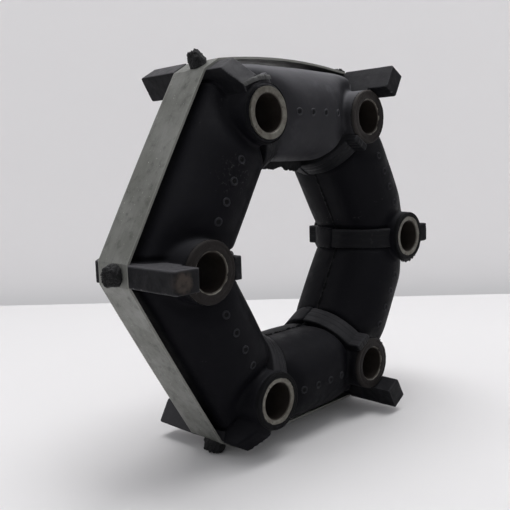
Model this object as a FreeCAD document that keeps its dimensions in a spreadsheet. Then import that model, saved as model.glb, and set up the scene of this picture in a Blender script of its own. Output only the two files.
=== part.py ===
import FreeCAD, Part
import os
from math import atan2, pi, sqrt

import Sketcher
from FreeCAD import Placement, Rotation, Vector

# Drive coupling: a hexagonal rubber ring bonded to six steel inserts, held by a steel band.
# The shaft axis is Y, with the front face towards -Y. The ring stands on its two lowest pegs, +Z up.
# The origin is the centre of the bolt circle, halfway between the two flange faces.
# All sizes are in millimetres.

# Driving dimensions
SIZES = [
    ("bolt_circle", 114.3),
    ("bush_bore", 12.8),
    ("bush_outer", 17.46),
    ("bush_length", 44.45),
    ("bush_chamfer", 0.5),
    ("plate", 7.2),
    ("plate_setback", 2.42),
    ("arm_height", 32.0),
    ("arm_setback", 2.02),
    ("arm_bulge", 2.4),
    ("bulge_length", 60.0),
    ("bulge_inset", 0.2),
    ("dip_depth", 2.8),
    ("dip_reach", 5.0),
    ("core_inset", 0.1),
    ("collar_wall", 1.6),
    ("collar_setback", 0.75),
    ("fin_stand_out", 4.08),
    ("fin_edge_margin", 0.8),
    ("tab_width", 2.3),
    ("lug_stand_out", 0.67),
    ("lug_step", 1.1),
    ("lug_bar", 9.5),
    ("lug_overhang", 6.7),
    ("lug_bevel", 6.9),
    ("lug_corner", 0.8),
    ("band_thickness", 0.8),
    ("band_width", 15.9),
    ("band_shift", 2.0),
    ("band_clearance", 0.3),
    ("band_bow_top", 2.4),
    ("band_bow_side", 0.3),
    ("band_lap", 18.0),
    ("peg_shift", 0.6),
    ("peg_shank", 5.0),
    ("peg_clearance", 0.1),
    ("peg_seat", 3.0),
    ("peg_head", 8.4),
    ("peg_head_height", 4.5),
    ("peg_head_round", 1.4),
    ("foot_head", 10.0),
    ("foot_height", 2.3),
]

# Dimensions that follow from them: the plates and arms keep their distance from the bush ends,
# and the fins and lugs stand out from the rubber's inner and outer corners.
FORMULAS = [
    ("plate_depth", "bush_length - 2 * plate_setback"),
    ("arm_depth", "bush_length - 2 * arm_setback"),
    ("arm_apothem", "bolt_circle / 2 * cos(30 deg)"),
    ("arm_radius", "arm_height / 2"),
    ("core_radius", "arm_radius - core_inset"),
    ("bulge_radius", "arm_radius - bulge_inset"),
    ("fin_reach", "(arm_apothem - arm_radius) / cos(30 deg) - fin_stand_out"),
    ("fin_edge_radius", "plate_depth / 2 + fin_edge_margin"),
    ("tab_root", "bolt_circle / 2 - bush_outer / 2 - collar_wall"),
    ("tab_radius", "tab_root - tab_width"),
    ("lug_face", "(arm_apothem + arm_radius) / cos(30 deg) + lug_stand_out"),
    ("lug_length", "bush_length / 2 + lug_overhang"),
]

# Sizes that several pieces share, each worked out from the sheet
BOLT_RADIUS = "sizes.bolt_circle / 2"
TUBE_RADIUS = "sizes.bush_outer / 2"
HALF_PLATE = "sizes.plate / 2"
HALF_DEPTH = "sizes.plate_depth / 2"
HALF_ARM = "sizes.arm_depth / 2"
COLLAR_RADIUS = "(sizes.bush_outer / 2 + sizes.collar_wall)"
COLLAR_LENGTH = "(sizes.bush_length - 2 * sizes.collar_setback)"
ARM_APOTHEM = "sizes.arm_apothem"
BAND_INNER = "sizes.lug_face"
BAND_OUTER = "(sizes.lug_face + sizes.band_thickness)"
FLAT_INNER = "(sizes.plate / 2)"
FLAT_OUTER = "(sizes.plate / 2 + sizes.band_thickness * tan(15 deg))"
BAND_APOTHEM = f"({BAND_OUTER} * cos(30 deg) + {FLAT_OUTER} * sin(30 deg))"

BUSHES = 6
FULL_TURN = 360
STEP = FULL_TURN / BUSHES
# The bushes that bolt to the rear flange have their long lugs towards the front.
FRONT_LUGS = (2, 4, 6)
# The pegs at the two bottom corners are spread and squashed flat, because the coupling stands on them.
FOOT_PEGS = (5, 6)
FLOOR_BLOCK = (200.0, 60.0, 20.0)

doc = FreeCAD.newDocument("drive_coupling")
sheet = doc.addObject("Spreadsheet::Sheet", "sizes")


def fill_sheet():
    lines = [(alias, str(size)) for alias, size in SIZES]
    lines += [(alias, "=" + formula) for alias, formula in FORMULAS]
    for row, (alias, content) in enumerate(lines, start=1):
        sheet.set(f"A{row}", alias)
        sheet.set(f"B{row}", content)
        sheet.setAlias(f"B{row}", alias)
        doc.recompute()


def value(expression):
    """The number that an expression gives with the sheet's present sizes."""
    return float(sheet.evalExpression(str(expression)))


# Sketches

# How a sketch numbers its own origin, and the ends and the centre of a piece of geometry
SKETCH_ORIGIN = (-1, 1)
START, END, CENTRE = 1, 2, 3
UPRIGHT = Vector(0, 0, 1)


def origin_feature(body, role):
    return next(item for item in body.Origin.OriginFeatures if item.Role == role)


def new_body(label, placement=None):
    body = doc.addObject("PartDesign::Body", label)
    body.Label = label
    if placement:
        body.Placement = placement
    return body


def new_sketch(body, plane, name):
    sketch = body.newObject("Sketcher::SketchObject", name)
    sketch.AttachmentSupport = (origin_feature(body, plane), [""])
    sketch.MapMode = "FlatFace"
    return sketch


def bind(sketch, constraint, name, expression):
    """Adds a dimension whose size follows an expression."""
    index = sketch.addConstraint(constraint)
    sketch.renameConstraint(index, name)
    sketch.setExpression(f"Constraints.{name}", expression)


def bind_point(sketch, geometry, point, across, up, name):
    """Holds a point of the sketch at a place given from the sketch's origin."""
    for kind, place in (("DistanceX", across), ("DistanceY", up)):
        constraint = Sketcher.Constraint(kind, *SKETCH_ORIGIN, geometry, point, value(place))
        bind(sketch, constraint, f"{name}_{kind}", place)


def convex_arc(start, end, radius):
    """An arc from start to end that turns to the left."""
    chord = end - start
    half = chord.Length / 2
    left = Vector(-chord.y, chord.x, 0).normalize()
    centre = (start + end) / 2 + left * sqrt(max(radius * radius - half * half, 0))
    first = atan2(start.y - centre.y, start.x - centre.x)
    last = atan2(end.y - centre.y, end.x - centre.x)
    while last < first:
        last += 2 * pi
    return Part.ArcOfCircle(Part.Circle(centre, UPRIGHT, radius), first, last)


def open_path(sketch, corners):
    """Straight runs through corners, each held in its place."""
    points = [Vector(value(across), value(up), 0) for across, up in corners]
    runs = [sketch.addGeometry(Part.LineSegment(*pair), False) for pair in zip(points, points[1:])]
    for run, following in zip(runs, runs[1:]):
        sketch.addConstraint(Sketcher.Constraint("Coincident", run, END, following, START))
    for number, (across, up) in enumerate(corners[:-1]):
        bind_point(sketch, runs[number], START, across, up, f"p{number}")
    bind_point(sketch, runs[-1], END, *corners[-1], "end")


def outline(sketch, corners, bends=None, name="p"):
    """A closed outline through corners given anticlockwise; bends gives the radius of curved edges."""
    bends = bends or {}
    points = [Vector(value(across), value(up), 0) for across, up in corners]
    edges = []
    for number, start in enumerate(points):
        end = points[(number + 1) % len(points)]
        if number in bends:
            shape = convex_arc(start, end, value(bends[number]))
        else:
            shape = Part.LineSegment(start, end)
        edges.append(sketch.addGeometry(shape, False))
    for number, edge in enumerate(edges):
        following = edges[(number + 1) % len(edges)]
        sketch.addConstraint(Sketcher.Constraint("Coincident", edge, END, following, START))
    for number, edge in enumerate(edges):
        across, up = corners[number]
        bind_point(sketch, edge, START, across, up, f"{name}{number}")
        if number in bends:
            radius = bends[number]
            bend = Sketcher.Constraint("Radius", edge, value(radius))
            bind(sketch, bend, f"{name}{number}_bend", radius)


def circle(sketch, across, up, radius, name="c"):
    centre = Vector(value(across), value(up), 0)
    edge = sketch.addGeometry(Part.Circle(centre, UPRIGHT, value(radius)), False)
    bind_point(sketch, edge, CENTRE, across, up, name)
    bind(sketch, Sketcher.Constraint("Radius", edge, value(radius)), f"{name}_r", radius)


# Features


def pad(body, sketch, length, name):
    """A pad of the given whole length, half to each side of its sketch."""
    feature = body.newObject("PartDesign::Pad", name)
    feature.Profile = sketch
    feature.SideType = "Symmetric"
    feature.setExpression("Length", length)
    doc.recompute()
    return feature


def pocket(body, sketch, length, name, symmetric=True, reverse=False):
    """A cut whose loss of volume is checked, because one that points away from the solid cuts nothing."""
    before = body.Shape.Volume
    feature = body.newObject("PartDesign::Pocket", name)
    feature.Profile = sketch
    feature.SideType = "Symmetric" if symmetric else "One side"
    feature.Reversed = reverse
    feature.setExpression("Length", length)
    doc.recompute()
    if not body.Shape.Volume < before:
        raise RuntimeError(f"{body.Label}: {name} cuts nothing")
    return feature


def round_the_axis(body, feature, name):
    """Repeats a feature at every bush, round the shaft axis."""
    pattern = body.newObject("PartDesign::PolarPattern", name)
    pattern.Originals = [feature]
    pattern.Axis = (origin_feature(body, "Y_Axis"), [""])
    pattern.Angle = FULL_TURN
    pattern.Occurrences = BUSHES
    body.Tip = pattern
    doc.recompute()


def revolve(body, sketch, axis, name):
    """A full turn of a sketch round an axis, given as an object and the name of its part."""
    feature = body.newObject("PartDesign::Revolution", name)
    feature.Profile = sketch
    feature.ReferenceAxis = axis
    feature.Angle = FULL_TURN
    doc.recompute()


def bush_angle(number):
    """The angle of a bush from +X towards +Z; bush 1 is on +X."""
    return (number - 1) * STEP


def spoke(number, flip=False):
    """The placement that turns a piece made along +X, long end to the rear, to its bush."""
    turn = Rotation(Vector(0, 1, 0), -bush_angle(number))
    if flip:
        turn = turn * Rotation(Vector(1, 0, 0), 180)
    return Placement(Vector(0, 0, 0), turn)


# The steel inserts


def bush_tube(number):
    """A tube along the shaft axis, turned with a small chamfer at each mouth."""
    body = new_body(f"bush_tube_{number}", spoke(number, number in FRONT_LUGS))
    bore = f"{BOLT_RADIUS} + sizes.bush_bore / 2"
    mouth = f"{bore} + sizes.bush_chamfer"
    outer = f"{BOLT_RADIUS} + {TUBE_RADIUS}"
    end = "sizes.bush_length / 2"
    mouth_depth = f"{end} - sizes.bush_chamfer"
    sketch = new_sketch(body, "XY_Plane", "wall")
    wall = [
        (bore, f"-({mouth_depth})"),
        (mouth, f"-{end}"),
        (outer, f"-{end}"),
        (outer, end),
        (mouth, end),
        (bore, mouth_depth),
    ]
    outline(sketch, wall)
    foot = Vector(value(BOLT_RADIUS), 0, 0)
    head = Vector(value(BOLT_RADIUS), value(end), 0)
    axis = sketch.addGeometry(Part.LineSegment(foot, head), True)
    bind_point(sketch, axis, START, BOLT_RADIUS, "0", "axis_foot")
    bind_point(sketch, axis, END, BOLT_RADIUS, end, "axis_head")
    revolve(body, sketch, (sketch, ["Axis0"]), "turned_tube")
    return body


def tube_seat(body, depth):
    """Hollows a plate's end to sit on its tube."""
    sketch = new_sketch(body, "XZ_Plane", "tube_seat_circle")
    circle(sketch, BOLT_RADIUS, "0", TUBE_RADIUS)
    pocket(body, sketch, depth, "tube_seat")


def outer_lug(number):
    """A plate outside the tube, long at one end and bevelled at the other, with a step beside the band."""
    body = new_body(f"outer_lug_{number}", spoke(number, number in FRONT_LUGS))
    bar_outer = "(sizes.lug_face + sizes.lug_step)"
    bar_inner = f"({bar_outer} - sizes.lug_bar)"
    band_edge = f"({along_lug('band_shift', number)} + sizes.band_width / 2 + sizes.band_clearance)"
    sketch = new_sketch(body, "XY_Plane", "lug_side")
    side = [
        (BOLT_RADIUS, f"-{HALF_DEPTH}"),
        ("sizes.lug_face - sizes.lug_bevel", f"-{HALF_DEPTH}"),
        ("sizes.lug_face", f"sizes.lug_bevel - {HALF_DEPTH}"),
        ("sizes.lug_face", band_edge),
        (bar_outer, band_edge),
        (bar_outer, "sizes.lug_length - sizes.lug_corner"),
        (f"{bar_outer} - sizes.lug_corner", "sizes.lug_length"),
        (f"{bar_inner} + sizes.lug_corner", "sizes.lug_length"),
        (bar_inner, "sizes.lug_length - sizes.lug_corner"),
        (bar_inner, HALF_DEPTH),
        (BOLT_RADIUS, HALF_DEPTH),
    ]
    outline(sketch, side, bends={5: "sizes.lug_corner", 7: "sizes.lug_corner"})
    pad(body, sketch, "sizes.plate", "lug_plate")
    tube_seat(body, "sizes.plate_depth + sizes.lug_length")
    peg_hole = new_sketch(body, "YZ_Plane", "peg_hole_circle")
    peg_hole.setExpression("AttachmentOffset.Base.z", "sizes.lug_face")
    circle(peg_hole, along_lug("peg_shift", number), "0", "sizes.peg_shank / 2")
    pocket(body, peg_hole, "sizes.peg_seat", "peg_hole", symmetric=False)
    return body


def along_lug(shift, number):
    """A shift to the rear, measured along the lug's own long direction."""
    return f"-sizes.{shift}" if number in FRONT_LUGS else f"sizes.{shift}"


def inner_fin(number):
    """A plate inside the tube, rounded like the rubber, with a tab beside the collar at its long-lug end."""
    body = new_body(f"inner_fin_{number}", spoke(number, number in FRONT_LUGS))
    centre = "(sizes.fin_reach + sizes.fin_edge_radius)"
    front = f"{centre} - sqrt(sizes.fin_edge_radius ^ 2 - ({HALF_DEPTH}) ^ 2)"
    tab_foot = f"sqrt(sizes.fin_edge_radius ^ 2 - ({centre} - sizes.tab_radius) ^ 2)"
    tab_end = "sizes.bush_length / 2"
    sketch = new_sketch(body, "XY_Plane", "fin_side")
    side = [
        (BOLT_RADIUS, f"-{HALF_DEPTH}"),
        (BOLT_RADIUS, HALF_DEPTH),
        ("sizes.tab_root", HALF_DEPTH),
        ("sizes.tab_root", tab_end),
        ("sizes.tab_radius", tab_end),
        ("sizes.tab_radius", tab_foot),
        (front, f"-{HALF_DEPTH}"),
    ]
    outline(sketch, side, bends={5: "sizes.fin_edge_radius"})
    pad(body, sketch, "sizes.plate", "fin_plate")
    tube_seat(body, "sizes.plate_depth * 2")
    return body


# The rubber


def arm_section(body, name, radius, half_depth):
    """An arm's cross-section: two half circles joined by straight sides."""
    sketch = new_sketch(body, "YZ_Plane", name)
    offset = f"({half_depth} - {radius})"
    size = value(radius)
    shift = value(offset)
    middle = value(ARM_APOTHEM)
    top_right = Vector(shift, middle + size, 0)
    top_left = Vector(-shift, middle + size, 0)
    bottom_left = Vector(-shift, middle - size, 0)
    bottom_right = Vector(shift, middle - size, 0)
    right = sketch.addGeometry(convex_arc(bottom_right, top_right, size), False)
    top = sketch.addGeometry(Part.LineSegment(top_right, top_left), False)
    left = sketch.addGeometry(convex_arc(top_left, bottom_left, size), False)
    bottom = sketch.addGeometry(Part.LineSegment(bottom_left, bottom_right), False)
    for first, second in ((right, top), (top, left), (left, bottom), (bottom, right)):
        sketch.addConstraint(Sketcher.Constraint("Tangent", first, END, second, START))
    sketch.addConstraint(Sketcher.Constraint("Horizontal", top))
    bind(sketch, Sketcher.Constraint("Radius", right, size), "half_height", radius)
    bind_point(sketch, right, CENTRE, offset, ARM_APOTHEM, "rear_centre")
    bind_point(sketch, left, CENTRE, f"-{offset}", ARM_APOTHEM, "front_centre")
    return sketch


def half_ring_path(body, name):
    """The line through the bush centres on the right, from the middle of the top to that of the bottom."""
    sketch = new_sketch(body, "XZ_Plane", name)
    corners = [("0", ARM_APOTHEM)]
    for turn in (60, 0, -60):
        corners.append((f"{BOLT_RADIUS} * cos({turn} deg)", f"{BOLT_RADIUS} * sin({turn} deg)"))
    corners.append(("0", f"-{ARM_APOTHEM}"))
    open_path(sketch, corners)
    return sketch


def six_arms(body, name, radius, half_depth):
    """Six arms mitred at the bushes, swept as the right half and mirrored."""
    section = arm_section(body, f"{name}_section", radius, half_depth)
    path = half_ring_path(body, f"{name}_path")
    doc.recompute()
    half = body.newObject("PartDesign::AdditivePipe", f"{name}_half")
    half.Profile = section
    half.Spine = (path, [f"Edge{number}" for number in range(1, BUSHES // 2 + 2)])
    half.Transition = "Right corner"
    doc.recompute()
    whole = body.newObject("PartDesign::Mirrored", name)
    whole.Originals = [half]
    whole.MirrorPlane = (origin_feature(body, "YZ_Plane"), [""])
    body.Tip = whole
    doc.recompute()


def upper_bulge(body):
    """The upper arm is fuller on its outer side, under the band's bow."""
    sketch = new_sketch(body, "YZ_Plane", "bulge_section")
    half_depth = f"({HALF_ARM} - sizes.bulge_inset)"
    offset = f"({half_depth} - sizes.bulge_radius)"
    top = f"{ARM_APOTHEM} + sizes.arm_radius + sizes.arm_bulge"
    shoulder = f"({top} - sizes.bulge_radius)"
    corners = [
        (half_depth, ARM_APOTHEM),
        (half_depth, shoulder),
        (offset, top),
        (f"-{offset}", top),
        (f"-{half_depth}", shoulder),
        (f"-{half_depth}", ARM_APOTHEM),
    ]
    outline(sketch, corners, bends={1: "sizes.bulge_radius", 3: "sizes.bulge_radius"})
    pad(body, sketch, "sizes.bulge_length", "upper_bulge")


def collar_dips(body):
    """Round each bush the arms' faces sink in: a disc is cut out and a shallower set of arms put back."""
    disc = new_sketch(body, "XZ_Plane", "dip_circle")
    circle(disc, BOLT_RADIUS, "0", f"{COLLAR_RADIUS} + sizes.dip_reach")
    dip = pocket(body, disc, "sizes.arm_depth * 2", "dip")
    round_the_axis(body, dip, "dips")
    six_arms(body, "core", "sizes.core_radius", f"({HALF_ARM} - sizes.dip_depth)")


def rubber_body():
    """A ring of six mitred arms, collars round the bushes, and slots and holes for the steel."""
    body = new_body("rubber_body")
    body.AllowCompound = True
    six_arms(body, "ring", "sizes.arm_radius", HALF_ARM)
    upper_bulge(body)
    collar_dips(body)

    collar_circle = new_sketch(body, "XZ_Plane", "collar_circle")
    circle(collar_circle, BOLT_RADIUS, "0", COLLAR_RADIUS)
    collar = pad(body, collar_circle, COLLAR_LENGTH, "collar")
    round_the_axis(body, collar, "collars")

    slot_sides = new_sketch(body, "XZ_Plane", "slot_sides")
    inside = "sizes.fin_reach"
    outside = "sizes.lug_face"
    slot = [
        (inside, f"-{HALF_PLATE}"),
        (outside, f"-{HALF_PLATE}"),
        (outside, HALF_PLATE),
        (inside, HALF_PLATE),
    ]
    outline(slot_sides, slot)
    plate_slot = pocket(body, slot_sides, "sizes.plate_depth", "plate_slot")
    round_the_axis(body, plate_slot, "plate_slots")

    hole_circle = new_sketch(body, "XZ_Plane", "hole_circle")
    circle(hole_circle, BOLT_RADIUS, "0", TUBE_RADIUS)
    tube_hole = pocket(body, hole_circle, "sizes.bush_length * 2", "tube_hole")
    round_the_axis(body, tube_hole, "tube_holes")
    return body


# The band and its pegs


def band_bows():
    """How far each side of the band bows outwards, by the number of its edge; the bottom is straight."""
    side = "sizes.band_bow_side"
    return {1: side, 3: "sizes.band_bow_top", 5: side, 7: side, 11: side}


def band_loop(radius, flat):
    """Corners of a hexagon whose corners are short flats, with the bend radius of each bowed side."""
    corners = []
    for number in range(1, BUSHES + 1):
        turn = f"({bush_angle(number):g} deg)"
        for side in ("-", ""):
            across = f"{radius} * cos{turn} - ({side}{flat}) * sin{turn}"
            up = f"{radius} * sin{turn} + ({side}{flat}) * cos{turn}"
            corners.append((across, up))
    half_side = f"({radius} * sin(30 deg) - {flat} * cos(30 deg))"
    bends = {edge: f"({half_side} ^ 2 + {bow} ^ 2) / (2 * {bow})" for edge, bow in band_bows().items()}
    return corners, bends


def lap_rectangle(sketch):
    """The band's outer end, lying on its inner end on the lower right side."""
    turn = "(-30 deg)"
    low = f"({BAND_APOTHEM} - sizes.band_thickness / 2)"
    high = f"({BAND_APOTHEM} + sizes.band_bow_side + sizes.band_thickness)"
    half = "sizes.band_lap / 2"
    corners = []
    for apothem, along in ((low, f"-{half}"), (high, f"-{half}"), (high, half), (low, half)):
        across = f"{apothem} * cos{turn} - ({along}) * sin{turn}"
        up = f"{apothem} * sin{turn} + ({along}) * cos{turn}"
        corners.append((across, up))
    outline(sketch, corners)


def compression_band():
    """A steel strip folded round the six lugs, with a hole for a peg at every corner."""
    body = new_body("compression_band")
    body.setExpression("Placement.Base.y", "sizes.band_shift")
    loops = new_sketch(body, "XZ_Plane", "band_edges")
    for name, radius, flat in (("outer", BAND_OUTER, FLAT_OUTER), ("inner", BAND_INNER, FLAT_INNER)):
        corners, bends = band_loop(radius, flat)
        outline(loops, corners, bends, name)
    pad(body, loops, "sizes.band_width", "strip")

    lap = new_sketch(body, "XZ_Plane", "lap_edges")
    lap_rectangle(lap)
    pad(body, lap, "sizes.band_width", "lap")

    hole = new_sketch(body, "YZ_Plane", "peg_hole_circle")
    circle(hole, "sizes.peg_shift - sizes.band_shift", "0", "sizes.peg_shank / 2 + sizes.peg_clearance")
    peg_hole = pocket(body, hole, f"{BAND_OUTER} * 2", "peg_hole", symmetric=False, reverse=True)
    round_the_axis(body, peg_hole, "peg_holes")
    return body


def peg(label, number, head):
    """A rubber rivet: a shank through the band into the lug, and a rounded head outside."""
    body = new_body(label, spoke(number))
    body.setExpression("Placement.Base.y", "sizes.peg_shift")
    head_top = f"{BAND_OUTER} + sizes.peg_head_height"
    sketch = new_sketch(body, "XY_Plane", "peg_profile")
    profile = [
        ("sizes.lug_face - sizes.peg_seat", "0"),
        (head_top, "0"),
        (head_top, f"{head} / 2 - sizes.peg_head_round"),
        (f"{head_top} - sizes.peg_head_round", f"{head} / 2"),
        (BAND_OUTER, f"{head} / 2"),
        (BAND_OUTER, "sizes.peg_shank / 2"),
        ("sizes.lug_face - sizes.peg_seat", "sizes.peg_shank / 2"),
    ]
    outline(sketch, profile, bends={2: "sizes.peg_head_round"})
    revolve(body, sketch, (origin_feature(body, "X_Axis"), [""]), "turned_peg")
    return body


def band_peg(number):
    """A peg, cut off level with the ground where the coupling stands on it."""
    name = f"band_peg_{number}"
    if number not in FOOT_PEGS:
        return peg(name, number, "sizes.peg_head")
    whole = peg(f"whole_peg_{number}", number, "sizes.foot_head")
    length, width, height = FLOOR_BLOCK
    ground = doc.addObject("Part::Box", f"ground_{number}")
    ground.Length = length
    ground.Width = width
    ground.Height = height
    ground.Placement.Base = Vector(-length / 2, -width / 2, 0)
    ground.setExpression("Placement.Base.z", f"-{BAND_APOTHEM} - sizes.foot_height - {height}")
    flattened = doc.addObject("Part::Cut", name)
    flattened.Label = name
    flattened.Base = whole
    flattened.Tool = ground
    doc.recompute()
    return flattened


# Checks and export


def check_document():
    doc.recompute()
    for item in doc.Objects:
        faults = {"Invalid", "Error"} & set(item.State)
        if faults:
            raise RuntimeError(f"{item.Label}: {', '.join(sorted(faults))}")


def export(pieces):
    os.makedirs("parts", exist_ok=True)
    for piece in pieces:
        shape = piece.Shape
        if shape.isNull() or not shape.isValid() or len(shape.Solids) != 1:
            raise RuntimeError(f"{piece.Label}: not one sound solid")
    for piece in pieces:
        piece.Shape.exportStep(os.path.join("parts", piece.Label + ".step"))


def main():
    fill_sheet()
    pieces = [rubber_body(), compression_band()]
    for number in range(1, BUSHES + 1):
        pieces += [bush_tube(number), outer_lug(number), inner_fin(number), band_peg(number)]
    check_document()
    export(pieces)
    for piece in pieces:
        print(f"{piece.Label}: {piece.Shape.Volume / 1000:.2f} cm3")


main()
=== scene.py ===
from itertools import combinations, product
from math import cos, pi, radians, sin

import bpy
import numpy as np
from mathutils import Matrix, Vector, noise


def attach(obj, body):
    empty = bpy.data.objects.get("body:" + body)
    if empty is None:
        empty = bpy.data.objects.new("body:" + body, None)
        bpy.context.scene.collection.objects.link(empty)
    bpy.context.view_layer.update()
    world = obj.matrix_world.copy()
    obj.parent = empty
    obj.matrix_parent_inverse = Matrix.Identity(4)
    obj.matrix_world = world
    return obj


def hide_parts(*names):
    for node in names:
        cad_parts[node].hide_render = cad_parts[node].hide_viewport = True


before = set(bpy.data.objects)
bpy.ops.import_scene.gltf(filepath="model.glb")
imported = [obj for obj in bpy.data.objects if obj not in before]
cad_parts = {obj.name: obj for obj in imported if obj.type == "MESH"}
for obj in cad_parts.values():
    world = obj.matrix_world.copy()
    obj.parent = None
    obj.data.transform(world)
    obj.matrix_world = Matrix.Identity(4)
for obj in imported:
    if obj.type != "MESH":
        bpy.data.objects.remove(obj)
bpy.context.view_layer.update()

# Drive coupling: a hexagonal rubber ring bonded to six steel inserts, held by a steel band.
# Shapes are worked out in millimetres and scaled to metres when a mesh is made; materials, the
# camera and the lamps are in metres. The shaft axis is Y, with the front face towards -Y; +Z is up.

MM = 0.001
SHAFT = np.array((0, 1, 0))
END_NAMES = {-1: "front", 1: "rear"}

# Sizes shared with the solids
BUSHES = 6
STEP = 2 * pi / BUSHES
BOLT_RADIUS = 57.15
TUBE_RADIUS = 8.73
BUSH_END = 22.225
COLLAR_RADIUS = 10.33
COLLAR_END = 21.475
HALF_PLATE = 3.6
HALF_DEPTH = 19.8
ARM_APOTHEM = 49.494
ARM_HALF_HEIGHT = 16.0
ARM_HALF_DEPTH = 20.2
FIN_CENTRE = 55.2
FIN_RADIUS = 20.6
LUG_FACE = 76.3
LUG_BEVEL = 6.9
TAB_RADIUS = 44.52
BAND_OUTER = 77.1
BAND_FRONT = -6.4
PEG_SHIFT = 0.6
FLOOR = -70.98

# Bushes, lugs and fins are numbered from the right, anticlockwise as seen from the front.
# The bushes that bolt to the rear flange have their long lugs towards the front.
FRONT_LUGS = (2, 4, 6)
# The lug whose bevel is still filled with rubber, and those whose plates it covers beside the bevel
FILLED_BEVEL = 1
COVERED_BEVELS = (1, 5)
# The lug with a lip of rubber along its bevel's front edge
LIP_LUG = 3
# The long lug that has lost its film in one patch of its end, and the one in shade, painted with less top
# light and dust
BARE_LUG = 4
SHADED_LUG = 6
# Arms are numbered from 0, each lying between two bushes.
TOP_ARM = 1


# Camera

CAMERA_PLACE = (-0.1974, -0.1775, 0.0331)
CAMERA_RIGHT = (0.6936, -0.7195, -0.0351)
CAMERA_UP = (0.1200, 0.0673, 0.9905)
LENS = 48.15
SENSOR = 36.0
CLIP_START = 0.01


def add_camera():
    right = Vector(CAMERA_RIGHT).normalized()
    back = right.cross(Vector(CAMERA_UP)).normalized()
    up = back.cross(right)
    data = bpy.data.cameras.new("camera")
    data.lens = LENS
    data.sensor_width = SENSOR
    data.clip_start = CLIP_START
    camera = bpy.data.objects.new("camera", data)
    turn = Matrix((right, up, back)).transposed()
    camera.matrix_world = Matrix.Translation(CAMERA_PLACE) @ turn.to_4x4()
    bpy.context.scene.collection.objects.link(camera)
    bpy.context.scene.camera = camera


# Shader nodes


def new_material(name):
    material = bpy.data.materials.new(name)
    material.use_nodes = True
    material.node_tree.nodes.clear()
    return material


def set_or_link(material, socket, value):
    if isinstance(value, bpy.types.NodeSocket):
        material.node_tree.links.new(value, socket)
    else:
        socket.default_value = value


def add(material, kind, inputs=None, **settings):
    """A shader node with its settings, and its inputs set to values or linked from sockets."""
    made = material.node_tree.nodes.new(kind)
    for name, setting in settings.items():
        setattr(made, name, setting)
    for key, value in (inputs or {}).items():
        set_or_link(material, made.inputs[key], value)
    return made


def combine(material, operation, first, second=0.0, clamp=False):
    made = add(material, "ShaderNodeMath", {0: first, 1: second}, operation=operation, use_clamp=clamp)
    return made.outputs[0]


def times(material, first, second):
    return combine(material, "MULTIPLY", first, second)


def vector_maths(material, operation, first, second=None):
    inputs = {0: first} if second is None else {0: first, 1: second}
    return add(material, "ShaderNodeVectorMath", inputs, operation=operation)


def mottle(material, place, scale, detail=4.0, roughness=0.55):
    """Noise from 0 to 1; scale is in cells a metre."""
    made = add(material, "ShaderNodeTexNoise",
               {"Vector": place, "Scale": scale, "Detail": detail, "Roughness": roughness})
    return made.outputs["Fac"]


def between(material, value, low, high, out_low=0.0, out_high=1.0):
    """A smooth step from out_low, where the value is low, to out_high, where it is high."""
    made = add(material, "ShaderNodeMapRange",
               {"Value": value, "From Min": low, "From Max": high, "To Min": out_low, "To Max": out_high},
               interpolation_type="SMOOTHSTEP")
    return made.outputs["Result"]


# The sockets of a Mix node that blend two colours and give the result
MIX_SHARE, MIX_FIRST, MIX_SECOND, MIX_RESULT = 0, 6, 7, 2


def blend_colours(material, share, first, second):
    made = add(material, "ShaderNodeMix", {MIX_SHARE: share}, data_type="RGBA")
    for index, colour in ((MIX_FIRST, first), (MIX_SECOND, second)):
        value = colour if isinstance(colour, bpy.types.NodeSocket) else (*colour, 1.0)
        set_or_link(material, made.inputs[index], value)
    return made.outputs[MIX_RESULT]


def bump(material, height, distance, strength, normal=None):
    inputs = {"Height": height, "Distance": distance, "Strength": strength}
    if normal is not None:
        inputs["Normal"] = normal
    return add(material, "ShaderNodeBump", inputs).outputs["Normal"]


def finish_material(material, colour, roughness, normal, metallic=0.0, specular=0.5):
    shader = add(material, "ShaderNodeBsdfPrincipled",
                 {"Base Color": colour, "Roughness": roughness, "Normal": normal,
                  "Metallic": metallic, "Specular IOR Level": specular})
    add(material, "ShaderNodeOutputMaterial", {"Surface": shader.outputs[0]})
    return material


def object_place(material):
    return add(material, "ShaderNodeTexCoord").outputs["Object"]


def away_from(material, place, centre):
    offset = vector_maths(material, "SUBTRACT", place, centre).outputs[0]
    return vector_maths(material, "LENGTH", offset).outputs["Value"]


def upward(material):
    """How far a surface faces up, from 0 to 1."""
    normal = add(material, "ShaderNodeNewGeometry").outputs["Normal"]
    parts = add(material, "ShaderNodeSeparateXYZ", {0: normal})
    return combine(material, "MAXIMUM", parts.outputs["Z"], 0.0)


# Materials

RUBBER_DARK = (0.0030, 0.0030, 0.0044)
RUBBER_DUST_AND_LIT = (0.140, 0.139, 0.150)
RUBBER_ROUGHNESS = (0.46, 0.62)
# Dust, and the painted top light with it, lie mostly on the upper arm, which lies between two planes through
# the shaft axis.
MITRE_SLOPE = 1.732
MITRE_FADE = 0.004
# How much dust and painted top light show on what faces up, and how much dust shows as a veil on every side,
# elsewhere and on the upper arm
SETTLED_DUST_AND_TOP_LIGHT = (0.14, 0.85)
SETTLED_AND_LIT_POWER = 2.2
VEIL_DUST = (0.01, 0.32)
# A cluster of pale marks on the upper left arm's front, with the distances where it ends and is full
SCUFF_CENTRE = (-0.043, -0.0205, 0.030)
SCUFF_REACH = (0.009, 0.004)
SCUFF_STRENGTH = 0.34
SCUFF_PALE = (0.11, 0.108, 0.105)


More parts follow.
